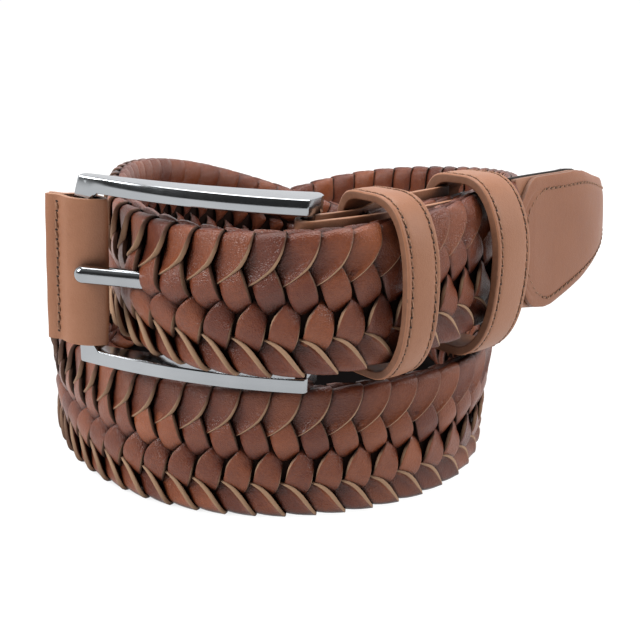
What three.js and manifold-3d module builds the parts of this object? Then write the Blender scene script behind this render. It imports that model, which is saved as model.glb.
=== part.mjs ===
import * as THREE from 'three';
import Module from 'manifold-3d';
import { mergeVertices } from 'three/addons/utils/BufferGeometryUtils.js';

// A braided stretch belt, buckled into a closed loop of about 93 cm and set
// down in two turns that stand on the lower edge of the strap. Millimetres,
// +Z up, the buckle towards -Y. The origin is the bottom centre of the box.

const STRAP_W = 35;            // strap width
const STRAP_T = 5;             // braid thickness
const PATH_STEP = 0.5;         // integration step along the strap
const START = { x: 10.333, y: -70.379 };   // strap centre beside the hinge bar
const ORIGIN = { x: 15.91, y: 18.97 };       // moved to the bottom centre of the box

const BRAID_FROM = 14, BRAID_TO = 1000.6;  // braided length, along the strap
const FLOOR_FROM = 352, FLOOR_TO = 592;    // the run that lies on the floor

const LEATHER = 1.25;          // leather thickness of chape and tip layers
const GAP = 0.3;               // clearance between neighbouring pieces

const FRAME = {                // buckle frame, in its own axes
  x: -19.8, y: -66.6, z: 61.6, yaw: -14.84, pitch: 3.1, roll: -0.4,
  height: 47.3, length: 57.4, bow: 3.6, bar: 3.8,
  depthLeft: 3.4, depthRight: 10.6, cornerX: 28.2, endX: 29.7, endBack: 4.5,
};
const HINGE = { x: 27.6, y: 3.8, r: 2.0 };
const PRONG = { r: 2.0, tipX: -27.75, tipY: -4.8, tipZ: 0.75, eyeIn: 2.3, eyeOut: 4.0, eyeHalf: 2.3 };
const FRONT_BAR = { x: -26.3, y: 0.9, r: 1.6 };
const WRAP = { half: 18.4, finX: -37.4, finHalf: 1.35, rx: 4.9, ry: 3.0, bore: 1.88 };

// One row for each 45 mm of strap: heading in plan (degrees, anticlockwise
// from +X), lift of the lower edge, and outward lean (degrees).
const PATH = [
  { along: 0, heading: 31.2, lift: 44.2, lean: -1.4 },
  { along: 45, heading: 51.9, lift: 42.6, lean: -0.9 },
  { along: 90, heading: 71.1, lift: 38.5, lean: -0.4 },
  { along: 135, heading: 87.3, lift: 32.6, lean: 0.3 },
  { along: 180, heading: 118.5, lift: 26.4, lean: 1.0 },
  { along: 225, heading: 163.7, lift: 19.8, lean: 1.1 },
  { along: 270, heading: 202.1, lift: 8.8, lean: 0.6 },
  { along: 315, heading: 232.8, lift: 1.0, lean: -0.3 },
  { along: 360, heading: 256.8, lift: 0, lean: -1.4 },
  { along: 405, heading: 279.2, lift: 0, lean: -2.6 },
  { along: 450, heading: 309.4, lift: 0, lean: -3.6 },
  { along: 495, heading: 350.7, lift: 0, lean: -2.3 },
  { along: 540, heading: 389.7, lift: 0, lean: -1.2 },
  { along: 585, heading: 441.2, lift: 0, lean: 0.6 },
  { along: 630, heading: 462.2, lift: 2.5, lean: 0.5 },
  { along: 675, heading: 498.4, lift: 9.4, lean: 0.2 },
  { along: 720, heading: 548.6, lift: 21.3, lean: -0.2 },
  { along: 765, heading: 603.9, lift: 35.5, lean: -0.4 },
  { along: 810, heading: 630.5, lift: 42.4, lean: -0.6 },
  { along: 855, heading: 646.0, lift: 44.0, lean: -0.8 },
  { along: 900, heading: 692.1, lift: 42.8, lean: -0.6 },
  { along: 945, heading: 753.7, lift: 43.3, lean: -2.0 },
  { along: 990, heading: 774.8, lift: 44.2, lean: -4.5 },
  { along: 1035, heading: 771.6, lift: 41.8, lean: -4.5 },
  { along: 1080, heading: 814.0, lift: 43.5, lean: -3.0 },
  { along: 1125, heading: 864.0, lift: 46.0, lean: 0 },
];

// Outline of the free tip: lower and upper edge above the strap's lower edge.
const TIP = [
  { along: 1001, low: -0.1, high: 35.3 },
  { along: 1009, low: -1.2, high: 35.3 },
  { along: 1016, low: -2.2, high: 35.3 },
  { along: 1020, low: -2.0, high: 35.3 },
  { along: 1027, low: -0.5, high: 35.2 },
  { along: 1035, low: 1.3, high: 35.0 },
  { along: 1043, low: 2.8, high: 34.0 },
  { along: 1051, low: 4.0, high: 31.9 },
  { along: 1059, low: 5.5, high: 29.3 },
  { along: 1067, low: 7.6, high: 26.8 },
  { along: 1075, low: 10.2, high: 24.4 },
  { along: 1082, low: 13.0, high: 22.0 },
  { along: 1087, low: 15.8, high: 19.8 },
];

// Chape profile beyond the roll: half thickness inside and outside.
const CHAPE = [
  { along: 6, inner: 2.65, outer: 3.95 },
  { along: 11, inner: 2.75, outer: 4.0 },
  { along: 17, inner: 2.8, outer: 4.05 },
  { along: 25, inner: 2.8, outer: 4.05 },
  { along: 33, inner: 2.8, outer: 4.05 },
  { along: 41, inner: 2.8, outer: 3.95 },
  { along: 49, inner: 2.8, outer: 3.75 },
];

// Loops: middle and width along the strap, clear opening in height and depth,
// roundness of the front half, leather thickness, and turn in plan (degrees).
const KEEPERS = [
  { name: 'keeper_front', mid: 15.6, width: 9.6, low: -3.1, high: 38.0, back: -5.8, front: 16.3, round: 2.45, leather: 2.0, turn: 3 },
  { name: 'keeper_rear', mid: 49.45, width: 12.3, low: -4.3, high: 38.3, back: -5.7, front: 16.1, round: 2.2, leather: 2.3, turn: -7.5 },
];

const rad = THREE.MathUtils.degToRad;

function tableValue(table, column, along) {
  const last = table.length - 1;
  const step = table[1].along - table[0].along;
  const u = (along - table[0].along) / step;
  const i = Math.min(Math.max(Math.floor(u), 0), last - 1);
  const t = u - i;
  const get = (k) => (k < 0 ? 2 * table[0][column] - table[1][column]
    : k > last ? 2 * table[last][column] - table[last - 1][column] : table[k][column]);
  const a = get(i - 1), b = get(i), c = get(i + 1), d = get(i + 2);
  return 0.5 * (2 * b + (c - a) * t + (2 * a - 5 * b + 4 * c - d) * t * t + (3 * b - a - 3 * c + d) * t * t * t);
}

const liftAt = (s) => Math.max(0, tableValue(PATH, 'lift', s));
const headingAt = (s) => rad(tableValue(PATH, 'heading', s));
const slopeAt = (s) => (liftAt(s + 0.5) - liftAt(s - 0.5));

function walkPath() {
  const points = [];
  let x = START.x, y = START.y;
  const stepAt = (s) => {
    const g = slopeAt(s), c = Math.sqrt(1 - g * g), a = headingAt(s);
    return [Math.cos(a) * c, Math.sin(a) * c];
  };
  for (let s = 0; s <= 1110; s += PATH_STEP) {
    points.push([x, y]);
    const a = stepAt(s), b = stepAt(s + PATH_STEP);
    x += PATH_STEP * (a[0] + b[0]) / 2;
    y += PATH_STEP * (a[1] + b[1]) / 2;
  }
  return points;
}
const WALK = walkPath();

// Bends a point of the flat strap (along, height, outward) onto its path.
function bend(along, height, outward, onFloor = false) {
  const s = Math.max(along, 0);
  const a = headingAt(s), g = slopeAt(s), c = Math.sqrt(1 - g * g);
  const i = Math.min(Math.floor(s / PATH_STEP), WALK.length - 2), t = s / PATH_STEP - i;
  const over = along - s;
  const px = WALK[i][0] * (1 - t) + WALK[i + 1][0] * t + over * Math.cos(a);
  const py = WALK[i][1] * (1 - t) + WALK[i + 1][1] * t + over * Math.sin(a);
  const lean = rad(tableValue(PATH, 'lean', s));
  const U0 = new THREE.Vector3(-Math.cos(a) * g, -Math.sin(a) * g, c);
  const N0 = new THREE.Vector3(Math.sin(a), -Math.cos(a), 0);
  const U = U0.clone().multiplyScalar(Math.cos(lean)).addScaledVector(N0, Math.sin(lean));
  const N = N0.clone().multiplyScalar(Math.cos(lean)).addScaledVector(U0, -Math.sin(lean));
  const p = new THREE.Vector3(px, py, liftAt(s)).addScaledVector(U, height).addScaledVector(N, outward);
  if (onFloor || p.z < 0) p.z = 0;
  return p.sub(new THREE.Vector3(ORIGIN.x, ORIGIN.y, 0));
}

// Joins a row of equal closed sections into one closed body.
function loft(sections, closed = false) {
  const n = sections[0].length, m = sections.length;
  const pos = [], tri = [];
  for (const sec of sections) for (const p of sec) pos.push(p.x, p.y, p.z);
  const rows = closed ? m : m - 1;
  for (let i = 0; i < rows; i++) {
    const a = i * n, b = ((i + 1) % m) * n;
    for (let k = 0; k < n; k++) {
      const k2 = (k + 1) % n;
      tri.push(a + k, b + k, b + k2, a + k, b + k2, a + k2);
    }
  }
  if (!closed) {
    const cap = (base, flip) => {
      const flat = sections[base / n];
      const c = new THREE.Vector3();
      for (const p of flat) c.addScaledVector(p, 1 / n);
      const id = pos.length / 3;
      pos.push(c.x, c.y, c.z);
      for (let k = 0; k < n; k++) {
        const k2 = (k + 1) % n;
        if (flip) tri.push(id, base + k2, base + k); else tri.push(id, base + k, base + k2);
      }
    };
    cap(0, false);
    cap((m - 1) * n, true);
  }
  const geo = new THREE.BufferGeometry();
  geo.setAttribute('position', new THREE.Float32BufferAttribute(pos, 3));
  geo.setIndex(tri);
  return volume(geo) < 0 ? turnInsideOut(geo) : geo;
}

function volume(geo) {
  const p = geo.attributes.position, ix = geo.index.array;
  const a = new THREE.Vector3(), b = new THREE.Vector3(), c = new THREE.Vector3();
  let v = 0;
  for (let i = 0; i < ix.length; i += 3) {
    a.fromBufferAttribute(p, ix[i]); b.fromBufferAttribute(p, ix[i + 1]); c.fromBufferAttribute(p, ix[i + 2]);
    v += a.dot(b.cross(c)) / 6;
  }
  return v;
}

function turnInsideOut(geo) {
  const ix = geo.index.array;
  for (let i = 0; i < ix.length; i += 3) { const t = ix[i]; ix[i] = ix[i + 1]; ix[i + 1] = t; }
  return geo;
}

// Boolean helpers.
const wasm = await Module();
wasm.setup();

function toSolid(geometry) {
  let g = geometry.clone();
  g.deleteAttribute('normal'); g.deleteAttribute('uv');
  g = mergeVertices(g, 1e-4);
  return new wasm.Manifold(new wasm.Mesh({
    numProp: 3,
    vertProperties: new Float32Array(g.attributes.position.array),
    triVerts: new Uint32Array(g.index.array),
  }));
}

function toGeometry(solid) {
  const m = solid.getMesh();
  const geo = new THREE.BufferGeometry();
  geo.setAttribute('position', new THREE.Float32BufferAttribute(new Float32Array(m.vertProperties), 3));
  geo.setIndex(new THREE.Uint32BufferAttribute(new Uint32Array(m.triVerts), 1));
  return geo;
}

const group = new THREE.Group();
function addPiece(name, geometry, colour, roughness, metalness) {
  const geo = geometry.index ? geometry.toNonIndexed() : geometry;
  geo.deleteAttribute('normal');
  geo.deleteAttribute('uv');
  const merged = mergeVertices(geo, 1e-5);
  merged.computeVertexNormals();
  const mesh = new THREE.Mesh(merged, new THREE.MeshStandardMaterial({ color: colour, roughness, metalness }));
  mesh.name = name;
  group.add(mesh);
}

function stations(from, to, step) {
  const n = Math.max(1, Math.round((to - from) / step));
  return Array.from({ length: n + 1 }, (_, i) => from + (to - from) * i / n);
}

// Buckle axes.
const frameMatrix = new THREE.Matrix4()
  .makeTranslation(FRAME.x - ORIGIN.x, FRAME.y - ORIGIN.y, FRAME.z)
  .multiply(new THREE.Matrix4().makeRotationFromEuler(
    new THREE.Euler(rad(FRAME.roll), rad(FRAME.pitch), rad(FRAME.yaw), 'ZYX')));
const atFrame = (x, y, z) => new THREE.Vector3(x, y, z).applyMatrix4(frameMatrix);
const frameFront = (x) => -FRAME.bow * (1 - (2 * x / FRAME.length) ** 2);
const frameDepth = (x) => {
  const t = Math.min(Math.max((x + FRAME.length / 2) / FRAME.length, 0), 1);
  return FRAME.depthLeft + (FRAME.depthRight - FRAME.depthLeft) * t ** 0.75;
};

// A cylinder between two points, round, closed.
function rod(a, b, radius, sides, along = [0, 1]) {
  const dir = b.clone().sub(a);
  const path = new THREE.LineCurve3(
    a.clone().addScaledVector(dir, along[0]), a.clone().addScaledVector(dir, along[1]));
  const shape = new THREE.Shape();
  for (let i = 0; i < sides; i++) {
    const t = 2 * Math.PI * i / sides;
    const x = radius * Math.cos(t), y = radius * Math.sin(t);
    if (i === 0) shape.moveTo(x, y); else shape.lineTo(x, y);
  }
  return new THREE.ExtrudeGeometry(shape, { steps: 1, bevelEnabled: false, extrudePath: path });
}

const hingeTop = atFrame(HINGE.x, HINGE.y, FRAME.height / 2 - 1);
const hingeLow = atFrame(HINGE.x, HINGE.y, -FRAME.height / 2 + 1);
const hingeMid = atFrame(HINGE.x, HINGE.y, 0);
const prongTip = atFrame(PRONG.tipX, PRONG.tipY, PRONG.tipZ);

// Braided strap: a flat band with rounded edges, following the whole path.
{
  const e = STRAP_T / 2;
  const half = [
    { h: 0, n: 1.2 }, { h: 1.5, n: e - 0.4 }, { h: 4, n: e },
    { h: STRAP_W - 4, n: e }, { h: STRAP_W - 1.5, n: e - 0.4 }, { h: STRAP_W, n: 1.2 },
  ];
  const section = [...half.map((q) => ({ h: q.h, n: -q.n })), ...[...half].reverse()];
  const rows = stations(BRAID_FROM, BRAID_TO, 6).map((s) => section.map((q) => bend(
    s, q.h, q.n, q.h === 0 && s >= FLOOR_FROM && s <= FLOOR_TO)));
  let strap = toSolid(loft(rows));
  const hole = toSolid(rod(prongTip, hingeMid, PRONG.r + 0.35, 16, [0, 0.8]));
  strap = strap.subtract(hole);
  addPiece('braided_strap', toGeometry(strap), 0x764d43, 0.55, 0);
}

// Chape: one strip of leather folded round the hinge bar.
{
  const rollIn = HINGE.r + GAP, rollOut = rollIn + LEATHER;
  const low = 0.4, high = STRAP_W - 0.4, a = headingAt(0);
  const onRoll = (h, r, angle) => {
    const z = bend(0, h, 0).z;
    const p = hingeLow.clone().lerp(hingeTop, (z - hingeLow.z) / (hingeTop.z - hingeLow.z));
    const t = r * Math.cos(angle), n = r * Math.sin(angle);
    return p.add(new THREE.Vector3(Math.cos(a) * t + Math.sin(a) * n, Math.sin(a) * t - Math.cos(a) * n, 0));
  };
  const rows = [];
  const layerRow = (c, side) => rows.push([
    bend(c.along, low, side * c.inner), bend(c.along, low, side * c.outer),
    bend(c.along, high, side * c.outer), bend(c.along, high, side * c.inner)]);
  for (const c of [...CHAPE].reverse()) layerRow(c, 1);
  for (let k = 0; k <= 10; k++) {
    const t = Math.PI / 2 + Math.PI * k / 10;
    rows.push([onRoll(low, rollIn, t), onRoll(low, rollOut, t), onRoll(high, rollOut, t), onRoll(high, rollIn, t)]);
  }
  for (const c of CHAPE) layerRow(c, -1);
  const mid = hingeMid.z - bend(0, 0, 0).z;
  const slotRows = [-9, 11].map((s) => [
    bend(s, mid - 3.2, -8), bend(s, mid - 3.2, 8), bend(s, mid + 3.2, 8), bend(s, mid + 3.2, -8)]);
  addPiece('chape', toGeometry(toSolid(loft(rows)).subtract(toSolid(loft(slotRows)))), 0xa37962, 0.6, 0);
}

// Keepers: closed leather loops round both layers of the belt, rounder in front.
for (const k of KEEPERS) {
  const around = 36, centre = (k.back + k.front) / 2, middle = (k.low + k.high) / 2;
  const c = Math.cos(rad(k.turn)), s = Math.sin(rad(k.turn));
  const ringPoint = (t, grow, w) => {
    const a = (k.front - k.back) / 2 + grow, b = (k.high - k.low) / 2 + grow;
    const x = Math.cos(t), y = Math.sin(t), p = 2 / (x > 0 ? k.round : 5);
    const m = a * Math.sign(x) * Math.abs(x) ** p, h = middle + b * Math.sign(y) * Math.abs(y) ** p;
    return bend(k.mid + w * c + m * s, h, centre + m * c - w * s);
  };
  const rows = [];
  for (let i = 0; i < around; i++) {
    const t = 2 * Math.PI * (i + 0.5) / around;
    rows.push([
      ringPoint(t, 0, -k.width / 2), ringPoint(t, 0, k.width / 2),
      ringPoint(t, k.leather, k.width / 2), ringPoint(t, k.leather, -k.width / 2)]);
  }
  addPiece(k.name, loft(rows, true), 0xa37962, 0.55, 0);
}

// Buckle frame: a bowed rectangular ring, deeper towards its hinge bar.
{
  const xs = stations(-FRAME.length / 2, FRAME.cornerX, 5);
  const outline = new THREE.Shape();
  xs.forEach((x, i) => { if (i === 0) outline.moveTo(x + 1.2, frameFront(x)); else outline.lineTo(x, frameFront(x)); });
  outline.lineTo(FRAME.endX, frameFront(FRAME.endX) + FRAME.endBack);
  outline.lineTo(FRAME.endX, frameFront(FRAME.endX) + FRAME.depthRight - 0.4);
  [...xs].reverse().forEach((x) => outline.lineTo(x, frameFront(x) + frameDepth(x)));
  outline.lineTo(-FRAME.length / 2 - 0.4, frameFront(-FRAME.length / 2) + 1.4);
  const slab = new THREE.ExtrudeGeometry(outline, { depth: FRAME.height, bevelEnabled: false });
  slab.translate(0, 0, -FRAME.height / 2);
  const opening = new THREE.BoxGeometry(FRAME.length + 20, 40, FRAME.height - 2 * FRAME.bar);
  let frame = toSolid(slab).subtract(toSolid(opening));
  for (const b of [HINGE, FRONT_BAR]) {
    const bar = new THREE.CylinderGeometry(b.r, b.r, FRAME.height - 2, 16);
    bar.rotateX(Math.PI / 2).translate(b.x, b.y, 0);
    frame = frame.add(toSolid(bar));
  }
  const geo = toGeometry(frame);
  geo.applyMatrix4(frameMatrix);
  addPiece('buckle_frame', geo, 0x8c8a88, 0.18, 1);
}

// Prong: a round bar with a rounded tip and an eye round the hinge bar.
{
  const eye = [];
  const around = 20;
  for (let i = 0; i < around; i++) {
    const t = 2 * Math.PI * i / around, c = Math.cos(t), s = Math.sin(t);
    eye.push([
      atFrame(HINGE.x + PRONG.eyeIn * c, HINGE.y + PRONG.eyeIn * s, -PRONG.eyeHalf),
      atFrame(HINGE.x + PRONG.eyeOut * c, HINGE.y + PRONG.eyeOut * s, -PRONG.eyeHalf),
      atFrame(HINGE.x + PRONG.eyeOut * c, HINGE.y + PRONG.eyeOut * s, PRONG.eyeHalf),
      atFrame(HINGE.x + PRONG.eyeIn * c, HINGE.y + PRONG.eyeIn * s, PRONG.eyeHalf)]);
  }
  const length = hingeMid.distanceTo(prongTip);
  const start = (PRONG.eyeIn + 0.9) / length;
  const bar = rod(hingeMid, prongTip, PRONG.r, 16, [start, 1 - PRONG.r / length]);
  const ball = new THREE.SphereGeometry(PRONG.r, 16, 10);
  const end = hingeMid.clone().lerp(prongTip, 1 - (PRONG.r + 0.02) / length);
  ball.translate(end.x, end.y, end.z);
  addPiece('prong', toGeometry(toSolid(loft(eye, true)).add(toSolid(bar)).add(toSolid(ball))), 0x8c8a88, 0.18, 1);
}

// Leather strip folded round the front bar, its two edges sewn into a fin.
{
  const outer = [], W = WRAP, c = FRONT_BAR;
  const fin = [[W.finX, W.finHalf], [W.finX + 3.5, W.finHalf + 0.1], [c.x - 6.6, W.finHalf + 0.4]];
  for (const q of fin) outer.push(new THREE.Vector2(q[0], c.y + q[1]));
  for (let k = 0; k <= 14; k++) {
    const t = rad(130 - 260 * k / 14);
    outer.push(new THREE.Vector2(c.x + W.rx * Math.cos(t), c.y + W.ry * Math.sin(t)));
  }
  for (const q of [...fin].reverse()) outer.push(new THREE.Vector2(q[0], c.y - q[1]));
  const shape = new THREE.Shape(outer);
  const bore = [];
  for (let k = 0; k < 14; k++) {
    const t = 2 * Math.PI * k / 14;
    bore.push(new THREE.Vector2(c.x + W.bore * Math.cos(t), c.y + W.bore * Math.sin(t)));
  }
  shape.holes.push(new THREE.Path(bore));
  const geo = new THREE.ExtrudeGeometry(shape, { depth: 2 * W.half, bevelEnabled: false });
  geo.translate(0, 0, -W.half);
  geo.applyMatrix4(frameMatrix);
  addPiece('bar_wrap', geo, 0xa3745a, 0.6, 0);
}

// Tip: base layer, a stitched cap with cut-off corners, and a lining.
function tipLayer(rows, from, to, back, front, inset, clip) {
  const out = [];
  for (const r of rows) {
    let low = r.low + inset, high = r.high - inset;
    if (clip) {
      const c = Math.max(0, clip - (r.along - from));
      low += c; high -= c;
    }
    out.push([
      bend(r.along, low, back), bend(r.along, low, front),
      bend(r.along, (low + high) / 2, front), bend(r.along, high, front),
      bend(r.along, high, back), bend(r.along, (low + high) / 2, back)]);
  }
  return loft(out);
}
{
  const capRows = [
    { along: 1001.2, low: -0.1, high: 35.3 }, { along: 1004.5, low: -0.6, high: 35.3 }, { along: 1007.7, low: -1.0, high: 35.3 }, ...TIP.slice(2)];
  addPiece('tip_base', tipLayer(TIP, 1001, 1088, -0.55, 0.85, 0, 0), 0xa88068, 0.6, 0);
  addPiece('tip_cap', tipLayer(capRows, 1001.2, 1088, 1.12, 2.4, 0.1, 6.5), 0xb08468, 0.6, 0);
  addPiece('tip_lining', tipLayer(TIP, 1001, 1088, -1.9, -0.82, 0.2, 0), 0x1d1917, 0.7, 0);
}

export default group;
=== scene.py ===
import math
import numpy as np
import bpy
import bmesh
from mathutils import Matrix, Vector


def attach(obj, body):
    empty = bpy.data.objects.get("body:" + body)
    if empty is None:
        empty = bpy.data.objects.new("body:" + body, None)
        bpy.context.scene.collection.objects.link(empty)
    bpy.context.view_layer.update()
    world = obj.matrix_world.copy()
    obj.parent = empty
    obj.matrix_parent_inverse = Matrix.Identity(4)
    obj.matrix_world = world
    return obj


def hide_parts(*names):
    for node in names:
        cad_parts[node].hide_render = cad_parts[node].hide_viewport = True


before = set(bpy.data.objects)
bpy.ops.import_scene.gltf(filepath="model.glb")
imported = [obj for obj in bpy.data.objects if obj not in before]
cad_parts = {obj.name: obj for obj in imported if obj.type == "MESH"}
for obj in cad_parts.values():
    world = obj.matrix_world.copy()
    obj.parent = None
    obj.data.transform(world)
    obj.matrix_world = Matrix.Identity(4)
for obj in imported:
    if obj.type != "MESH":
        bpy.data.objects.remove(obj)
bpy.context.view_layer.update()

MM = 0.001
ORIGIN = np.array([15.91, 18.97, 0.0])
START = (10.333, -70.379)
STEP = 0.25
STRAP_W = 35.0
RNG = np.random.default_rng(35)

# ---------------------------------------------------------------- camera
camera_data = bpy.data.cameras.new("camera")
camera_data.sensor_width = 36.0
camera_data.lens = 61.875
camera_data.clip_start, camera_data.clip_end = 0.02, 20.0
camera = bpy.data.objects.new("camera", camera_data)
bpy.context.scene.collection.objects.link(camera)
camera.location = ((11.0956 - ORIGIN[0]) * MM, (-317.5517 - ORIGIN[1]) * MM, 136.91 * MM)
camera.rotation_euler = (math.radians(90.0 - 18.511), 0.0, 0.0)
bpy.context.scene.camera = camera

# ---------------------------------------------------------------- path of the strap
# One row for each 45 mm: heading in plan, lift of the lower edge, outward lean.
PATH = [
    (31.2, 44.2, -1.4), (51.9, 42.6, -0.9), (71.1, 38.5, -0.4), (87.3, 32.6, 0.3),
    (118.5, 26.4, 1.0), (163.7, 19.8, 1.1), (202.1, 8.8, 0.6), (232.8, 1.0, -0.3),
    (256.8, 0.0, -1.4), (279.2, 0.0, -2.6), (309.4, 0.0, -3.6), (350.7, 0.0, -2.3),
    (389.7, 0.0, -1.2), (441.2, 0.0, 0.6), (462.2, 2.5, 0.5), (498.4, 9.4, 0.2),
    (548.6, 21.3, -0.2), (603.9, 35.5, -0.4), (630.5, 42.4, -0.6), (646.0, 44.0, -0.8),
    (692.1, 42.8, -0.6), (753.7, 43.3, -2.0), (774.8, 44.2, -4.5), (771.6, 41.8, -4.5),
    (814.0, 43.5, -3.0), (864.0, 46.0, 0.0),
]
KNOT = 45.0


def column(index, s):
    values = np.array([row[index] for row in PATH])
    values = np.concatenate([[2 * values[0] - values[1]], values, [2 * values[-1] - values[-2]]])
    u = np.asarray(s, float) / KNOT
    i = np.clip(np.floor(u).astype(int), 0, len(PATH) - 2)
    t = u - i
    a, b, c, d = (values[i + k] for k in range(4))
    return 0.5 * (2 * b + (c - a) * t + (2 * a - 5 * b + 4 * c - d) * t * t + (3 * b - a - 3 * c + d) * t ** 3)


def lift_at(s):
    return np.maximum(0.0, column(1, s))


def walk():
    s = np.arange(0.0, 1110.0 + STEP / 2, STEP)
    g = lift_at(s + 0.5) - lift_at(s - 0.5)
    c = np.sqrt(1 - g * g)
    a = np.radians(column(0, s))
    dx, dy = np.cos(a) * c, np.sin(a) * c
    x = START[0] + np.concatenate([[0], np.cumsum((dx[1:] + dx[:-1]) / 2 * STEP)])
    y = START[1] + np.concatenate([[0], np.cumsum((dy[1:] + dy[:-1]) / 2 * STEP)])
    return s, x, y


WALK_S, WALK_X, WALK_Y = walk()


def axes_at(s):
    """Along, up and outward directions of the strap, one row for each s."""
    s = np.maximum(np.asarray(s, float), 0.0)
    a = np.radians(column(0, s))
    g = lift_at(s + 0.5) - lift_at(s - 0.5)
    c = np.sqrt(1 - g * g)
    lean = np.radians(column(2, s))[..., None]
    along = np.stack([np.cos(a) * c, np.sin(a) * c, g], -1)
    up0 = np.stack([-np.cos(a) * g, -np.sin(a) * g, c], -1)
    out0 = np.stack([np.sin(a), -np.cos(a), 0 * a], -1)
    up = up0 * np.cos(lean) + out0 * np.sin(lean)
    out = out0 * np.cos(lean) - up0 * np.sin(lean)
    return along, up, out


def bend(along, height, outward):
    """Bends flat points (along, height, outward), in mm, onto the strap's path, in mm."""
    along = np.asarray(along, float)
    s = np.maximum(along, 0.0)
    over = along - s
    a = np.radians(column(0, s))
    x = np.interp(s, WALK_S, WALK_X) + over * np.cos(a)
    y = np.interp(s, WALK_S, WALK_Y) + over * np.sin(a)
    _, up, out = axes_at(s)
    p = np.stack([x, y, lift_at(s)], -1)
    p = p + up * np.asarray(height, float)[..., None] + out * np.asarray(outward, float)[..., None]
    p[..., 2] = np.maximum(p[..., 2], 0.02)
    return p - ORIGIN


# ---------------------------------------------------------------- buckle axes
def rotation_zyx(yaw, pitch, roll):
    m = Matrix.Rotation(math.radians(yaw), 3, "Z") @ Matrix.Rotation(math.radians(pitch), 3, "Y") \
        @ Matrix.Rotation(math.radians(roll), 3, "X")
    return np.array(m)


FRAME_AT = np.array([-19.8, -66.6, 61.6]) - ORIGIN
FRAME_TURN = rotation_zyx(-14.84, 3.1, -0.4)
FRAME_LENGTH, FRAME_HEIGHT, FRAME_BOW = 57.4, 47.3, 3.6
HINGE = (27.6, 3.8)
FRONT_BAR = (-26.3, 0.9)


def at_frame(p):
    return np.asarray(p, float) @ FRAME_TURN.T + FRAME_AT


def frame_front(x):
    return -FRAME_BOW * (1 - (2 * np.asarray(x, float) / FRAME_LENGTH) ** 2)


# ---------------------------------------------------------------- mesh helpers
def make_object(name, verts_mm, faces, materials, smooth=True, face_material=None, tone_and_shade_values=None, lights=None):
    mesh = bpy.data.meshes.new(name)
    mesh.from_pydata((np.asarray(verts_mm) * MM).tolist(), [], faces)
    for m in materials:
        mesh.materials.append(m)
    if face_material is not None:
        mesh.polygons.foreach_set("material_index", np.asarray(face_material, np.int32))
    for label, values in (("tone_and_shade", tone_and_shade_values), ("light", lights)):
        if values is not None:
            attribute = mesh.attributes.new(label, "FLOAT", "POINT")
            attribute.data.foreach_set("value", np.asarray(values, np.float32))
    mesh.polygons.foreach_set("use_smooth", np.full(len(mesh.polygons), smooth, bool))
    mesh.update()
    obj = bpy.data.objects.new(name, mesh)
    bpy.context.scene.collection.objects.link(obj)
    return obj


def settle(obj, nodes=()):
    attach(obj, "root")
    if nodes:
        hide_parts(*nodes)
    return obj


def grid_faces(rows, cols, closed_rows=False, closed_cols=True):
    faces = []
    for i in range(rows if closed_rows else rows - 1):
        a, b = i * cols, ((i + 1) % rows) * cols
        for k in range(cols if closed_cols else cols - 1):
            k2 = (k + 1) % cols
            faces.append((a + k, a + k2, b + k2, b + k))
    return faces


def fix_normals(obj):
    bm = bmesh.new()
    bm.from_mesh(obj.data)
    bmesh.ops.recalc_face_normals(bm, faces=bm.faces)
    bm.to_mesh(obj.data)
    bm.free()


# ---------------------------------------------------------------- materials
def node_material(name):
    m = bpy.data.materials.new(name)
    m.use_nodes = True
    nt = m.node_tree
    bsdf = nt.nodes["Principled BSDF"]
    return m, nt, bsdf


def texture_coordinates(nt, kind="Object"):
    return nt.nodes.new("ShaderNodeTexCoord").outputs[kind]


def noise(nt, vector, scale, detail=3.0, roughness=0.5):
    n = nt.nodes.new("ShaderNodeTexNoise")
    n.inputs["Scale"].default_value = scale
    n.inputs["Detail"].default_value = detail
    n.inputs["Roughness"].default_value = roughness
    nt.links.new(vector, n.inputs["Vector"])
    return n.outputs["Fac"]


def ramp(nt, value, stops, interpolation="LINEAR"):
    r = nt.nodes.new("ShaderNodeValToRGB")
    r.color_ramp.interpolation = interpolation
    while len(r.color_ramp.elements) < len(stops):
        r.color_ramp.elements.new(0.5)
    for e, (at, colour) in zip(r.color_ramp.elements, stops):
        e.position = at
        e.color = (*colour, 1.0) if len(colour) == 3 else colour
    nt.links.new(value, r.inputs["Fac"])
    return r.outputs["Color"]


def mix(nt, factor, a, b, blend="MIX"):
    m = nt.nodes.new("ShaderNodeMix")
    m.data_type = "RGBA"
    m.blend_type = blend
    if isinstance(factor, float):
        m.inputs["Factor"].default_value = factor
    else:
        nt.links.new(factor, m.inputs["Factor"])
    for socket, value in ((m.inputs[6], a), (m.inputs[7], b)):
        if isinstance(value, tuple):
            socket.default_value = (*value, 1.0)
        else:
            nt.links.new(value, socket)
    return m.outputs[2]


def math_node(nt, operation, a, b=None, clamp=False):
    m = nt.nodes.new("ShaderNodeMath")
    m.operation = operation
    m.use_clamp = clamp
    for socket, value in ((m.inputs[0], a), (m.inputs[1], b)):
        if value is None:
            continue
        if isinstance(value, (int, float)):
            socket.default_value = value
        else:
            nt.links.new(value, socket)
    return m.outputs[0]


def bump(nt, height, strength, distance):
    b = nt.nodes.new("ShaderNodeBump")
    b.inputs["Strength"].default_value = strength
    b.inputs["Distance"].default_value = distance
    nt.links.new(height, b.inputs["Height"])
    return b.outputs["Normal"]


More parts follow.
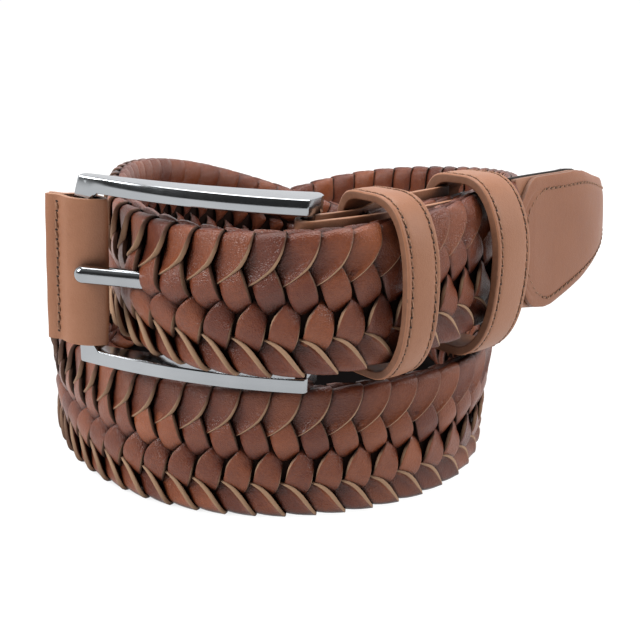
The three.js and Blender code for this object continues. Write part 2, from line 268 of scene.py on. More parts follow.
def leather(name, dark, mid, light, rough=(0.42, 0.62), grain=1.0, tone_and_shade=None, weight=0.45, grain_scale=1500.0, painted_crevice_shade=None, gloss=0.36,
            flecks=0.23):
    m, nt, bsdf = node_material(name)
    at = texture_coordinates(nt)
    broad = noise(nt, at, 45.0, 3.0, 0.55)
    fine = noise(nt, at, 420.0, 4.0, 0.6)
    fleck = noise(nt, at, 1500.0, 3.0, 0.65)
    value = math_node(nt, "ADD", math_node(nt, "MULTIPLY", broad, 0.50),
                      math_node(nt, "ADD", math_node(nt, "MULTIPLY", fine, 0.50 - flecks), math_node(nt, "MULTIPLY", fleck, flecks)))
    if tone_and_shade:
        # The attribute mixes a random tone of the leather with painted light and shade.
        a = nt.nodes.new("ShaderNodeAttribute")
        a.attribute_name = tone_and_shade
        value = math_node(nt, "ADD", math_node(nt, "MULTIPLY", value, 1 - weight), math_node(nt, "MULTIPLY", a.outputs["Fac"], weight))
    colour = ramp(nt, value, [(0.25, dark), (0.5, mid), (0.78, light)])
    if painted_crevice_shade:
        # Painted shade: the colour darkens to near-black where nearby leather hems the surface in, in creases, hollows
        # and between strands.
        ao = nt.nodes.new("ShaderNodeAmbientOcclusion")
        ao.samples = 6
        ao.inputs["Distance"].default_value = painted_crevice_shade
        shade = ramp(nt, ao.outputs["AO"], [(0.0, (0.01, 0.008, 0.008)), (0.35, (0.16, 0.13, 0.13)), (0.80, (1.0, 1.0, 1.0))])
        colour = mix(nt, 1.0, colour, shade, "MULTIPLY")
    nt.links.new(colour, bsdf.inputs["Base Color"])
    r = nt.nodes.new("ShaderNodeMapRange")
    r.inputs["To Min"].default_value, r.inputs["To Max"].default_value = rough
    nt.links.new(fine, r.inputs["Value"])
    nt.links.new(r.outputs["Result"], bsdf.inputs["Roughness"])
    v = nt.nodes.new("ShaderNodeTexVoronoi")
    v.feature = "DISTANCE_TO_EDGE"
    v.inputs["Scale"].default_value = grain_scale
    nt.links.new(at, v.inputs["Vector"])
    pores = math_node(nt, "MINIMUM", v.outputs["Distance"], 0.25)
    height = math_node(nt, "ADD", math_node(nt, "MULTIPLY", pores, 1.2), math_node(nt, "MULTIPLY", fine, 0.9))
    nt.links.new(bump(nt, height, 0.35 * grain, 0.0004), bsdf.inputs["Normal"])
    bsdf.inputs["Specular IOR Level"].default_value = gloss
    return m


BRAID = leather("braid_leather", (0.020, 0.005, 0.003), (0.112, 0.023, 0.0085), (0.290, 0.080, 0.026),
                rough=(0.26, 0.46), grain=1.5, tone_and_shade="tone_and_shade", weight=0.42, grain_scale=1700.0, painted_crevice_shade=0.0045, gloss=0.46, flecks=0.34)
BRAID_EDGE = leather("braid_cut_edge", (0.040, 0.018, 0.012), (0.11, 0.052, 0.029), (0.34, 0.205, 0.122),
                     rough=(0.6, 0.8), grain=0.7, tone_and_shade="light", weight=0.85, painted_crevice_shade=0.0025)
TAN = leather("tan_leather", (0.262, 0.107, 0.052), (0.308, 0.133, 0.069), (0.355, 0.162, 0.091),
              rough=(0.40, 0.55), grain=0.6, painted_crevice_shade=0.004)
TIP_TAN = leather("tip_tan_leather", (0.202, 0.069, 0.027), (0.242, 0.088, 0.038), (0.284, 0.112, 0.054),
                  rough=(0.40, 0.56), grain=0.5, painted_crevice_shade=0.004)
TAN_EDGE = leather("tan_leather_edge", (0.11, 0.044, 0.023), (0.19, 0.085, 0.047), (0.27, 0.130, 0.078),
                   rough=(0.4, 0.6), grain=0.5)
# Painted light: a lighter copy of the tan edge colour, for the sleeve's and the chape's edges, which show lit from
# above.
LIT_TAN_EDGE = leather("tan_edge_painted_lit", (0.24, 0.105, 0.055), (0.36, 0.175, 0.100), (0.46, 0.245, 0.150),
                    rough=(0.45, 0.6), grain=0.5)
# A near-black layer behind the tip, seen where the tip curls back.
NEAR_BLACK_TIP_BACK = leather("dark_lining", (0.008, 0.007, 0.006), (0.018, 0.015, 0.013), (0.035, 0.028, 0.024),
                 rough=(0.6, 0.8), grain=0.6, gloss=0.2)
# Painted shade: a near-black band inside the braid, seen through the gaps between strands as their shade.
GAP_SHADE = leather("braid_gap_shade_band", (0.006, 0.003, 0.002), (0.014, 0.006, 0.004), (0.028, 0.012, 0.008),
               rough=(0.7, 0.9), grain=0.6, gloss=0.1)


def thread_material():
    m, nt, bsdf = node_material("tan_thread")
    at = texture_coordinates(nt)
    w = nt.nodes.new("ShaderNodeTexWave")
    w.inputs["Scale"].default_value = 900.0
    w.inputs["Distortion"].default_value = 1.5
    nt.links.new(at, w.inputs["Vector"])
    colour = ramp(nt, w.outputs["Fac"], [(0.1, (0.15, 0.062, 0.030)), (0.8, (0.38, 0.20, 0.115))])
    nt.links.new(colour, bsdf.inputs["Base Color"])
    bsdf.inputs["Roughness"].default_value = 0.7
    nt.links.new(bump(nt, w.outputs["Fac"], 0.5, 0.0002), bsdf.inputs["Normal"])
    return m


THREAD = thread_material()


# Painted shade: near-black discs that stand for the dark inside of each needle hole.
def hole_shade_material():
    m, nt, bsdf = node_material("needle_hole_painted_shade")
    at = texture_coordinates(nt)
    colour = ramp(nt, noise(nt, at, 800.0), [(0.3, (0.012, 0.006, 0.004)), (0.8, (0.05, 0.024, 0.016))])
    nt.links.new(colour, bsdf.inputs["Base Color"])
    bsdf.inputs["Roughness"].default_value = 0.9
    return m


HOLE_SHADE = hole_shade_material()


def metal_material():
    m, nt, bsdf = node_material("polished_nickel")
    at = texture_coordinates(nt)
    fine = noise(nt, at, 600.0, 4.0, 0.6)
    colour = ramp(nt, noise(nt, at, 60.0), [(0.3, (0.33, 0.345, 0.36)), (0.8, (0.41, 0.425, 0.44))])
    nt.links.new(colour, bsdf.inputs["Base Color"])
    bsdf.inputs["Metallic"].default_value = 1.0
    r = nt.nodes.new("ShaderNodeMapRange")
    r.inputs["To Min"].default_value, r.inputs["To Max"].default_value = 0.10, 0.20
    nt.links.new(fine, r.inputs["Value"])
    nt.links.new(r.outputs["Result"], bsdf.inputs["Roughness"])
    nt.links.new(bump(nt, fine, 0.05, 0.0001), bsdf.inputs["Normal"])
    return m


METAL = metal_material()

# ---------------------------------------------------------------- braid
PITCH = 7.547
BRAID_PHASE = 459.84            # a top seam of the lower front falls here
BRAID_FROM, BRAID_TO = 14.0, 1001.0
RIBBON_T = 1.3

# A strand on its way down the front, from the fold over the top edge to the
# fold under the lower edge. Each row: left edge and right edge as
# (along, below the top edge, outward) in mm, the curl of the right and of the
# left edge, and how light the cut edge is painted: partly the paler raw edge,
# partly painted light, with the edges on the front painted lighter and those
# at the back, in shade, darker.
STRAND_DOWN = [
    ((-8.3, 1.7, -0.3), (-0.2, 0.7, -0.1), 0.0, 0.0, 0.35),
    ((-8.5, 2.0, 0.7), (-0.1, 0.9, 1.4), 0.2, 0.0, 0.45),
    ((-8.8, 3.0, 0.8), (-0.4, 2.2, 2.2), 0.6, 0.0, 0.50),
    ((-9.3, 5.0, 0.6), (-1.2, 4.8, 2.6), 1.1, 0.0, 0.75),
    ((-10.2, 7.3, 0.2), (-2.9, 7.9, 2.6), 1.5, 0.0, 0.90),
    ((-11.6, 9.2, -0.2), (-5.3, 10.4, 2.4), 1.6, 0.0, 0.95),
    ((-13.4, 10.8, -1.0), (-7.8, 12.3, 2.0), 1.2, 0.0, 0.90),
    ((-15.0, 12.2, -1.0), (-9.6, 13.4, 0.9), 0.4, 0.0, 0.40),
    ((-16.2, 13.6, -1.5), (-11.2, 15.2, -0.7), 0.0, 0.0, 0.20),
    ((-15.9, 16.3, 0.5), (-12.0, 18.2, -1.2), 0.0, 0.0, 0.20),
    ((-17.0, 17.9, 2.0), (-12.6, 20.4, 0.0), 0.0, 0.5, 0.35),
    ((-18.3, 19.6, 2.4), (-12.9, 21.9, 1.3), 0.3, 0.8, 0.75),
    ((-19.2, 21.6, 2.5), (-13.1, 23.7, 2.0), 0.6, 0.8, 0.75),
    ((-19.7, 23.8, 2.1), (-13.5, 25.6, 2.1), 0.7, 0.5, 0.65),
    ((-20.3, 25.9, 0.9), (-14.2, 27.4, 1.6), 0.5, 0.0, 0.45),
    ((-21.4, 28.2, -0.8), (-15.4, 29.2, 0.2), 0.0, 0.0, 0.30),
    ((-23.6, 30.4, -1.7), (-17.6, 31.2, -1.3), 0.0, 0.0, 0.25),
    ((-27.0, 32.0, -2.1), (-21.0, 33.1, -1.7), 0.0, 0.0, 0.35),
    ((-31.4, 33.1, -1.6), (-24.6, 34.0, -1.2), 0.0, 0.0, 0.35),
    ((-35.4, 33.3, -0.2), (-27.0, 34.3, -0.2), 0.0, 0.0, 0.35),
]
# A strand on its way back up, from the lower fold to the top fold. Its last column is the same partly painted edge
# lightness.
STRAND_UP = [
    ((-5.2, 33.3, -0.2), (3.19, 34.3, -0.2), 0.0, 0.0, 0.55),
    ((-5.3, 33.2, 0.8), (3.1, 34.2, 1.5), 0.5, 0.0, 0.65),
    ((-5.8, 32.2, 0.9), (2.4, 33.4, 2.4), 1.5, 0.0, 0.80),
    ((-6.6, 30.4, 0.6), (0.9, 31.2, 2.8), 2.6, 0.0, 0.90),
    ((-7.8, 28.6, 0.2), (-0.8, 28.7, 2.9), 3.2, 0.0, 1.00),
    ((-9.0, 27.0, -0.3), (-2.6, 26.8, 2.7), 3.4, 0.0, 1.00),
    ((-10.4, 25.2, -0.9), (-4.7, 25.6, 2.2), 3.0, 0.0, 0.90),
    ((-11.8, 23.3, -1.4), (-6.6, 24.8, 1.3), 1.2, 0.0, 0.60),
    ((-12.8, 21.4, -1.8), (-8.0, 22.6, -0.6), 0.0, 0.0, 0.20),
    ((-13.0, 20.2, -0.4), (-8.6, 19.4, -1.0), 0.0, 0.0, 0.20),
    ((-13.9, 18.4, 1.0), (-8.5, 16.9, 0.9), 0.3, 0.2, 0.35),
    ((-14.8, 16.3, 1.6), (-8.7, 14.6, 2.2), 0.6, 0.2, 0.45),
    ((-15.4, 14.0, 1.7), (-9.3, 12.2, 2.5), 0.7, 0.0, 0.50),
    ((-16.2, 11.6, 1.1), (-10.3, 9.6, 2.1), 0.6, 0.0, 0.50),
    ((-17.5, 9.8, -0.2), (-11.8, 7.6, 0.8), 0.3, 0.0, 0.35),
    ((-20.4, 10.9, -1.1), (-15.2, 7.8, -0.9), 0.0, 0.0, 0.25),
    ((-25.4, 11.6, -1.5), (-19.6, 8.3, -1.2), 0.0, 0.0, 0.30),
    ((-29.2, 9.4, -2.2), (-21.7, 8.2, -1.5), 0.0, 0.3, 0.35),
    ((-30.5, 6.2, -2.8), (-22.3, 5.9, -1.9), 0.0, 0.5, 0.40),
    ((-31.1, 3.0, -2.6), (-22.7, 3.4, -1.8), 0.0, 0.4, 0.40),
    ((-31.3, 0.8, -1.6), (-22.9, 1.7, -1.0), 0.0, 0.0, 0.40),
    ((-30.94, 1.7, -0.3), (-22.84, 0.7, -0.1), 0.0, 0.0, 0.35),
]


def smooth_rows(table, between):
    """Catmull-Rom through the table's rows."""
    p = np.array([[*left, *right, *rest] for left, right, *rest in table], float)
    p = np.vstack([2 * p[0] - p[1], p, 2 * p[-1] - p[-2]])
    out = []
    for i in range(1, len(p) - 2):
        for j in range(between):
            t = j / between
            a, b, c, d = p[i - 1], p[i], p[i + 1], p[i + 2]
            out.append(0.5 * (2 * b + (c - a) * t + (2 * a - 5 * b + 4 * c - d) * t * t + (3 * b - a - 3 * c + d) * t ** 3))
    out.append(p[-2])
    return np.array(out)


# Section of a strand: across (-1..1), through the leather (-1..1).
SECTION = [(-1.0, 0.7), (-0.96, 1.0), (-0.6, 1.0), (-0.2, 1.0), (0.25, 1.0), (0.6, 1.0), (0.83, 1.0), (0.96, 1.0),
           (1.0, 0.7), (1.0, -0.7), (0.96, -1.0), (0.4, -1.0), (-0.4, -1.0), (-0.96, -1.0), (-1.0, -0.7)]
EDGE_CELLS = {7, 8, 9, 13, 14}      # section steps that show the cut edge
CROWN = 0.36


def ribbon(table, between):
    """Section points of one strand: rows x section x (along, below, outward), and edge lightness, which is partly
    painted light.
    """
    rows = smooth_rows(table, between)
    left, right, curl_r, curl_l, light = rows[:, :3], rows[:, 3:6], rows[:, 6], rows[:, 7], rows[:, 8]
    mid = (left + right) / 2
    run = np.gradient(mid, axis=0)
    across = right - left
    normal = np.cross(across, run)
    normal /= np.linalg.norm(normal, axis=1, keepdims=True)
    width = np.linalg.norm(across, axis=1)
    unit = across / width[:, None]
    facing = np.sign(normal[:, 2])[:, None]
    front = np.where(mid[:, 2] > 0, 1.0, -1.0)
    h = RIBBON_T / 2
    out = []
    for a, t in SECTION:
        q, r = (a + 1) / 2, (1 - a) / 2
        lift = CROWN * front * (1 - a * a) - np.maximum(curl_r, 0) * (q - q ** 4) - np.maximum(curl_l, 0) * (r - r ** 4)
        slope = (-2 * CROWN * front * a - np.maximum(curl_r, 0) * (0.5 - 2 * q ** 3)
                 + np.maximum(curl_l, 0) * (0.5 - 2 * r ** 3)) / (width / 2)
        out_dir = normal * facing
        tilted = out_dir - unit * slope[:, None]
        tilted /= np.linalg.norm(tilted, axis=1, keepdims=True)
        skive = 1.0 - (1.0 - (0.42 + 0.58 * np.clip(light, 0, 1))) * abs(a) ** 3
        out.append(mid + unit * (width / 2 * a)[:, None] + out_dir * lift[:, None] + tilted * (h * t * skive)[:, None])
    return np.stack(out, 1), light


def ease(x, a, b):
    t = np.clip((np.asarray(x, float) - a) / (b - a), 0, 1)
    return t * t * (3 - 2 * t)


# Where the two loops press on the outer layer's edges: along, from and to.
PRESSED = [(941.0, 958.0), (974.0, 1001.0)]
PRONG_THROUGH = (875.5, 887.5, 18.8)        # the strand raised over the prong: along, along, height


def lean(s, h):
    """How far the lower turn leans out over its left end and in under its right end."""
    s, h = np.asarray(s, float), np.asarray(h, float)
    left = np.exp(-((s - 398) / 36.0) ** 2) * np.clip((h - 13) / 22, 0, 1)
    right = np.exp(-((s - 588) / 40.0) ** 2) * np.clip((30 - h) / 30, -0.2, 1)
    return 2.3 * left - 2.3 * right


def settle_depth(s, h, n):
    """Outward position of the braid where leather, loops or the prong press it."""
    thin = 1.0 - 0.26 * (1 - np.clip((s - 49.0) / 8.0, 0, 1)) - 0.28 * np.clip((s - 992.0) / 7.0, 0, 1)
    n = n * thin * (1 + 0.25 * np.exp(-((s - 405.0) / 42.0) ** 2) + 0.36 * np.exp(-((s - 880.0) / 30.0) ** 2))
    edge = ease(np.abs(h - STRAP_W / 2), 12.5, 17.5)
    for a, b in PRESSED:
        zone = ease(s, a - 7, a + 2) * (1 - ease(s, b - 2, b + 7))
        n = n - zone * edge * (0.25 * np.maximum(n, 0) + 0.75)
    a, b, height = PRONG_THROUGH
    lift = ease(s, a - 1.5, a + 1.5) * (1 - ease(s, b, b + 16)) * np.exp(-((h - height) / 5.5) ** 2)
    return n + 2.6 * lift * (n > -1.0)


def braid_piece(name, table, first, last, between=2):
    base, light = ribbon(table, between)
    rows, cols = base.shape[:2]
    verts, faces, mats, tone_and_shade_values, lights = [], [], [], [], []
    cell = grid_faces(rows, cols)
    cell_mat = [1 if (k % cols) in EDGE_CELLS else 0 for k in range(len(cell))]
    for n, k in enumerate(range(first, last + 1)):
        p = base.copy()
        jitter = RNG.normal(0, 1, 4)
        p[..., 0] += BRAID_PHASE + k * PITCH + 0.10 * jitter[0]
        p[..., 2] += 0.06 * jitter[1]
        off = n * rows * cols
        verts.append(p.reshape(-1, 3))
        faces += [tuple(off + i for i in f) for f in cell]
        mats += cell_mat
        # Painted shade: strands are coloured darker where they lie deep in the braid and lighter where they stand out,
        # on top of a random tone for each strand.
        painted_recess_shade = np.clip((np.abs(p[..., 2]) - 0.2) / 2.2, 0, 1).ravel() - 0.62
        tone_and_shade_values.append(np.clip(0.56 + 0.13 * jitter[2] + 0.38 * painted_recess_shade, 0.02, 0.98))
        # Painted light: the cut edges' lightness per row, painted darker near along 385, the lower turn's left end.
        at = BRAID_PHASE + k * PITCH
        fade = 0.50 + 0.50 * min(max((abs(at - 385) - 30) / 70, 0), 1)
        lights.append(np.clip(np.repeat(light, cols) * fade + 0.05 * jitter[3], 0, 1))
    flat = np.vstack(verts)
    obj = make_object(name, flat, faces, [BRAID, BRAID_EDGE], face_material=mats,
                      tone_and_shade_values=np.concatenate(tone_and_shade_values), lights=np.concatenate(lights))
    bm = bmesh.new()
    bm.from_mesh(obj.data)
    for at, direction in ((BRAID_FROM, -1), (BRAID_TO, 1)):
        geom = bm.verts[:] + bm.edges[:] + bm.faces[:]
        bmesh.ops.bisect_plane(bm, geom=geom, plane_co=(at * MM, 0, 0), plane_no=(direction, 0, 0), clear_outer=True)
    bm.to_mesh(obj.data)
    bm.free()
    co = np.empty(len(obj.data.vertices) * 3)
    obj.data.vertices.foreach_get("co", co)
    co = co.reshape(-1, 3) / MM
    height = STRAP_W - co[:, 1]
    world = bend(co[:, 0], height, settle_depth(co[:, 0], height, co[:, 2]) + lean(co[:, 0], height)) * MM
    obj.data.vertices.foreach_set("co", world.ravel())
    obj.data.update()
    fix_normals(obj)
    return obj


k_first = int((BRAID_FROM - BRAID_PHASE) / PITCH) - 1
k_last = int((BRAID_TO - BRAID_PHASE) / PITCH) + 6
k_mid = (k_first + k_last) // 2
settle(braid_piece("strands_down_a", STRAND_DOWN, k_first, k_mid), ["braided_strap"])
settle(braid_piece("strands_down_b", STRAND_DOWN, k_mid + 1, k_last), ())
settle(braid_piece("strands_up_a", STRAND_UP, k_first, k_mid), ())
settle(braid_piece("strands_up_b", STRAND_UP, k_mid + 1, k_last), ())


# A near-black band of painted shade inside the braid, seen through the gaps between strands.
def gap_shade_band():
    s = np.arange(BRAID_FROM + 1, BRAID_TO - 1, 3.0)
    section = [(2.6, -0.35), (32.4, -0.35), (32.4, 0.35), (2.6, 0.35)]
    pts = np.stack([bend(s, np.full_like(s, h), n + lean(s, np.full_like(s, h))) for h, n in section], 1)
    verts = pts.reshape(-1, 3)
    faces = grid_faces(len(s), 4) + [(0, 1, 2, 3), tuple(len(verts) - 1 - k for k in range(4))]
    obj = make_object("braid_gap_shade_band", verts, faces, [GAP_SHADE])
    fix_normals(obj)
    return obj


settle(gap_shade_band(), ())

# ---------------------------------------------------------------- leather panels and stitches
def panel(name, outer, inner, materials, mask=None, closed=False, bevel=0.28, wall_material=1, segments=2):
    """A leather panel between an outer and an inner grid of points, its rim bevelled."""
    rows, cols = outer.shape[:2]
    count = rows * cols
    verts = np.vstack([outer.reshape(-1, 3), inner.reshape(-1, 3)])
    cells = rows if closed else rows - 1
    if mask is None:
        mask = np.ones((cells, cols - 1), bool)
    faces, mats = [], []
    at = lambda i, k: (i % rows) * cols + k
    for i in range(cells):
        for k in range(cols - 1):
            if not mask[i, k]:
                continue
            quad = (at(i, k), at(i, k + 1), at(i + 1, k + 1), at(i + 1, k))
            faces += [quad, tuple(count + q for q in reversed(quad))]
            mats += [0, 0]
            for (di, dk), (a, b) in (((-1, 0), (0, 1)), ((0, 1), (1, 2)), ((1, 0), (2, 3)), ((0, -1), (3, 0))):
                ni, nk = i + di, k + dk
                if closed:
                    ni %= cells
                if 0 <= ni < cells and 0 <= nk < cols - 1 and mask[ni, nk]:
                    continue
                faces.append((quad[b], quad[a], count + quad[a], count + quad[b]))
                mats.append(wall_material)
    obj = make_object(name, verts, faces, materials, face_material=mats)
    bm = bmesh.new()
    bm.from_mesh(obj.data)
    bmesh.ops.delete(bm, geom=[v for v in bm.verts if not v.link_faces], context="VERTS")
    bmesh.ops.recalc_face_normals(bm, faces=bm.faces)
    rim = [e for e in bm.edges if len(e.link_faces) == 2 and (e.link_faces[0].material_index != e.link_faces[1].material_index)]
    if bevel:
        bmesh.ops.bevel(bm, geom=rim, offset=bevel * MM, segments=segments, profile=0.6, affect="EDGES",
                        clamp_overlap=True, material=-1)
    for f in bm.faces:
        f.smooth = True
    bm.to_mesh(obj.data)
    bm.free()
    obj.data.update()
    return obj


def catmull(points, n):
    p = np.asarray(points, float)
    p = np.vstack([2 * p[0] - p[1], p, 2 * p[-1] - p[-2]])
    u = np.linspace(0, len(p) - 3 - 1e-9, n)
    i = np.floor(u).astype(int) + 1
    t = (u - np.floor(u))[:, None]
    a, b, c, d = p[i - 1], p[i], p[i + 1], p[np.minimum(i + 2, len(p) - 1)]
    return 0.5 * (2 * b + (c - a) * t + (2 * a - 5 * b + 4 * c - d) * t * t + (3 * b - a - 3 * c + d) * t ** 3)


def stitches(name, runs, spacing=2.35, radius=0.24, slant=0.22, closed=False):
    """Thread along runs of (points, outward directions), with a near-black disc of painted shade for the needle hole
    between two stitches.
    """
    verts, faces, mats = [], [], []
    ring, sides = 7, 6
    for points, outs in runs:
        points, outs = np.asarray(points, float), np.asarray(outs, float)
        if closed:
            points, outs = np.vstack([points, points[:1]]), np.vstack([outs, outs[:1]])
        length = np.concatenate([[0], np.cumsum(np.linalg.norm(np.diff(points, axis=0), axis=1))])
        n = max(1, int(round(length[-1] / spacing)))
        step = length[-1] / n
        look = lambda d: np.array([np.interp(d, length, points[:, k]) for k in range(3)]).T
        look_out = lambda d: np.array([np.interp(d, length, outs[:, k]) for k in range(3)]).T
        for k in range(n):
            jitter = RNG.normal(0, 1, 3)
            a, b = (k + 0.10) * step, (k + 0.90) * step
            d = np.linspace(a, b, ring)
            centre, out = look(d), look_out(d)
            out /= np.linalg.norm(out, axis=1, keepdims=True)
            run = look(np.array([min(b + 0.05, length[-1])]))[0] - look(np.array([max(a - 0.05, 0)]))[0]
            run /= np.linalg.norm(run)
            side = np.cross(out, run)
            u = np.linspace(0, 1, ring)
            arch = np.sin(np.pi * u) ** 0.6
            thick = radius * (0.45 + 0.55 * arch) * (1 + 0.06 * jitter[0])
            centre = centre + out * (0.20 * arch - 0.06)[:, None] + side * ((u - 0.5) * slant * step + 0.04 * jitter[1])[:, None]
            base = len(verts)
            for c, o, sd, r in zip(centre, out, side, thick):
                for q in range(sides):
                    t = 2 * math.pi * q / sides
                    verts.append(c + o * (r * 0.75 * math.cos(t)) + sd * (r * math.sin(t)))
            faces += [tuple(base + x for x in f) for f in grid_faces(ring, sides)]
            faces += [tuple(base + q for q in range(sides)), tuple(base + (ring - 1) * sides + q for q in reversed(range(sides)))]
            mats += [0] * ((ring - 1) * sides + 2)
        for k in range(n + 1):
            d = np.array([min(max(k * step, 0), length[-1])])
            c, o = look(d)[0], look_out(d)[0]
            o /= np.linalg.norm(o)
            run = look(np.minimum(d + 0.1, length[-1]))[0] - look(np.maximum(d - 0.1, 0))[0]
            run /= np.linalg.norm(run)
            sd = np.cross(o, run)
            base = len(verts)
            for lift, grow in ((-0.12, 1.0), (0.045, 0.85)):
                for q in range(8):
                    t = 2 * math.pi * q / 8
                    verts.append(c + o * lift + run * (0.30 * grow * math.cos(t)) + sd * (0.40 * grow * math.sin(t) + 0.1 * math.cos(t)))
            verts.append(c + o * 0.07)
            faces += [(base + q, base + (q + 1) % 8, base + 8 + (q + 1) % 8, base + 8 + q) for q in range(8)]
            faces += [(base + 8 + q, base + 8 + (q + 1) % 8, base + 16) for q in range(8)]
            faces.append(tuple(base + q for q in reversed(range(8))))
            mats += [1] * 17
    obj = make_object(name, np.array(verts), faces, [THREAD, HOLE_SHADE], face_material=mats)
    fix_normals(obj)
    return obj


def ripple(p, scale, amount):
    """Gentle unevenness of hand-cut leather, from smooth waves."""
    x, y, z = (np.asarray(p, float) * scale).T
    return amount * (np.sin(x * 1.3 + 2.1 * np.sin(z * 0.7)) * np.cos(z * 1.1 + y) + 0.5 * np.sin(2.3 * z - 1.7 * x + y))


# ---------------------------------------------------------------- keepers
KEEPERS = [
    dict(name="keeper_front", mid=15.6, width=9.6, low=-3.1, high=38.0, back=-5.8, front=16.3, round=2.45, leather=2.0, turn=3.0),
    dict(name="keeper_rear", mid=49.45, width=12.3, low=-4.3, high=38.3, back=-5.7, front=16.1, round=2.2, leather=2.3, turn=-7.5),
]


def ring_point(k, t, grow, w):
    a, b = (k["front"] - k["back"]) / 2 + grow, (k["high"] - k["low"]) / 2 + grow
    c, s = math.cos(math.radians(k["turn"])), math.sin(math.radians(k["turn"]))
    x, y = np.cos(t), np.sin(t)
    p = 2 / np.where(x > 0, k["round"], 5.0)
    m = a * np.sign(x) * np.abs(x) ** p
    h = (k["low"] + k["high"]) / 2 + b * np.sign(y) * np.abs(y) ** p
    return bend(k["mid"] + w * c + m * s, h, (k["back"] + k["front"]) / 2 + m * c - w * s)


def even_angles(k, n):
    """Ring angles that are evenly spaced along the loop."""
    t = np.linspace(0, 2 * np.pi, 1441)
    p = ring_point(k, t, 0, 0 * t)
    d = np.concatenate([[0], np.cumsum(np.linalg.norm(np.diff(p, axis=0), axis=1))])
    return np.interp(np.linspace(0, d[-1], n, endpoint=False), d, t)


# Face of a loop: distance in from its edge, and how far the leather stands up.
LOOP_FACE = [(0.0, -0.10), (0.45, 0.06), (0.85, 0.06), (1.12, -0.07), (1.40, -0.12), (1.68, -0.05), (2.0, 0.08), (2.8, 0.14), (4.2, 0.18)]

for k in KEEPERS:
    half = k["width"] / 2
    rows = [(-half + d, up) for d, up in LOOP_FACE if d <= half] + [(0.0, 0.2)] \
        + [(half - d, up) for d, up in reversed(LOOP_FACE) if d <= half]
    rows = sorted(set(rows))
    w = np.array([r[0] for r in rows])
    up = np.array([r[1] for r in rows])
    t = even_angles(k, 132)
    tt, ww = np.meshgrid(t, w, indexing="ij")
    uu = np.broadcast_to(up, tt.shape)
    wave = 0.10 * np.sin(3 * tt + 1.0) + 0.07 * np.sin(5 * tt + k["mid"])
    outer = ring_point(k, tt.ravel(), (k["leather"] + uu + 0.05 * np.sin(7 * tt)).ravel(), (ww + wave).ravel()).reshape(tt.shape + (3,))
    inner = ring_point(k, tt.ravel(), np.full(tt.size, 0.02), (ww + wave).ravel()).reshape(tt.shape + (3,))
    settle(panel(k["name"] + "_band", outer, inner, [TAN, TAN_EDGE], closed=True, bevel=0.42, segments=3), [k["name"]])
    runs = []
    for at in (-half + 1.40, half - 1.40):
        points = ring_point(k, t, k["leather"] - 0.05, np.full_like(t, at) + 0.10 * np.sin(3 * t + 1.0) + 0.07 * np.sin(5 * t + k["mid"]))
        above = ring_point(k, t, k["leather"] + 0.95, np.full_like(t, at))
        runs.append((points, above - points))
    settle(stitches(k["name"] + "_stitches", runs, closed=True), ())

# ---------------------------------------------------------------- chape
CHAPE = [(6, 2.65, 3.95), (11, 2.75, 4.0), (17, 2.8, 4.05), (25, 2.8, 4.05), (33, 2.8, 4.05), (41, 2.8, 3.95), (49, 2.8, 3.75)]
HINGE_R, LEATHER_T = 2.0, 1.25


def on_roll(h, r, angle):
    z = bend(np.zeros_like(h), h, np.zeros_like(h))[:, 2]
    low, top = at_frame([HINGE[0], HINGE[1], -FRAME_HEIGHT / 2 + 1]), at_frame([HINGE[0], HINGE[1], FRAME_HEIGHT / 2 - 1])
    p = low + (top - low) * ((z - low[2]) / (top[2] - low[2]))[:, None]
    a = math.radians(float(column(0, 0.0)))
    t, n = r * math.cos(angle), r * math.sin(angle)
    return p + np.array([math.cos(a) * t + math.sin(a) * n, math.sin(a) * t - math.cos(a) * n, 0])


def chape_piece():
    s = np.concatenate([np.arange(6, 49, 1.75), [49.0]])
    depth = np.array(CHAPE, float)
    inner_at, outer_at = (lambda x: np.interp(x, depth[:, 0], depth[:, 1])), (lambda x: np.interp(x, depth[:, 0], depth[:, 2]))
    mid = at_frame([HINGE[0], HINGE[1], 0])[2] - bend([0.0], [0.0], [0.0])[0][2]
    h = np.unique(np.round(np.concatenate([np.linspace(0.4, mid - 3.2, 7), np.linspace(mid - 3.2, mid + 3.2, 4),
                                           np.linspace(mid + 3.2, 34.6, 7)]), 5))
    out, inn, slot = [], [], []
    for x in s[::-1]:
        out.append(bend(np.full_like(h, x), h, np.full_like(h, outer_at(x))))
        inn.append(bend(np.full_like(h, x), h, np.full_like(h, inner_at(x))))
        slot.append(x < 11)
    for k in range(1, 20):
        t = math.pi / 2 + math.pi * k / 20
        out.append(on_roll(h, HINGE_R + 0.3 + LEATHER_T, t))
        inn.append(on_roll(h, HINGE_R + 0.3, t))
        slot.append(True)
    for x in s:
        up = h + 2.1 * float(ease(x, 12, 26)) * np.clip((h - 20) / 14.6, 0, 1) ** 2
        out.append(bend(np.full_like(h, x), up, np.full_like(h, -outer_at(x))))
        inn.append(bend(np.full_like(h, x), up, np.full_like(h, -inner_at(x))))
        slot.append(x < 11)
    out, inn = np.array(out), np.array(inn)
    mask = np.ones((len(out) - 1, len(h) - 1), bool)
    middle = (h[1:] + h[:-1]) / 2
    for i in range(len(mask)):
        if slot[i] and slot[i + 1]:
            mask[i] = np.abs(middle - mid) > 3.2
    out += ripple(out.reshape(-1, 3), 0.35, 0.05).reshape(out.shape[:2])[..., None] * 0.5
    return panel("chape_leather", out, inn, [TAN, LIT_TAN_EDGE], mask=mask, bevel=0.25)


settle(chape_piece(), ["chape"])

# ---------------------------------------------------------------- sleeve on the front bar
WRAP_HALF = 18.4
# Outer face of the folded strip from above: x, and distance in front of the bar's axis.
WRAP_FACE = [(-37.4, 1.15), (-36.6, 1.38), (-35.6, 1.44), (-34.7, 1.34), (-33.9, 1.36), (-33.2, 1.62), (-32.2, 2.30), (-30.9, 2.98),
             (-29.4, 3.32), (-27.7, 3.36), (-26.0, 3.08), (-24.4, 2.52), (-23.0, 1.72), (-21.8, 0.62)]


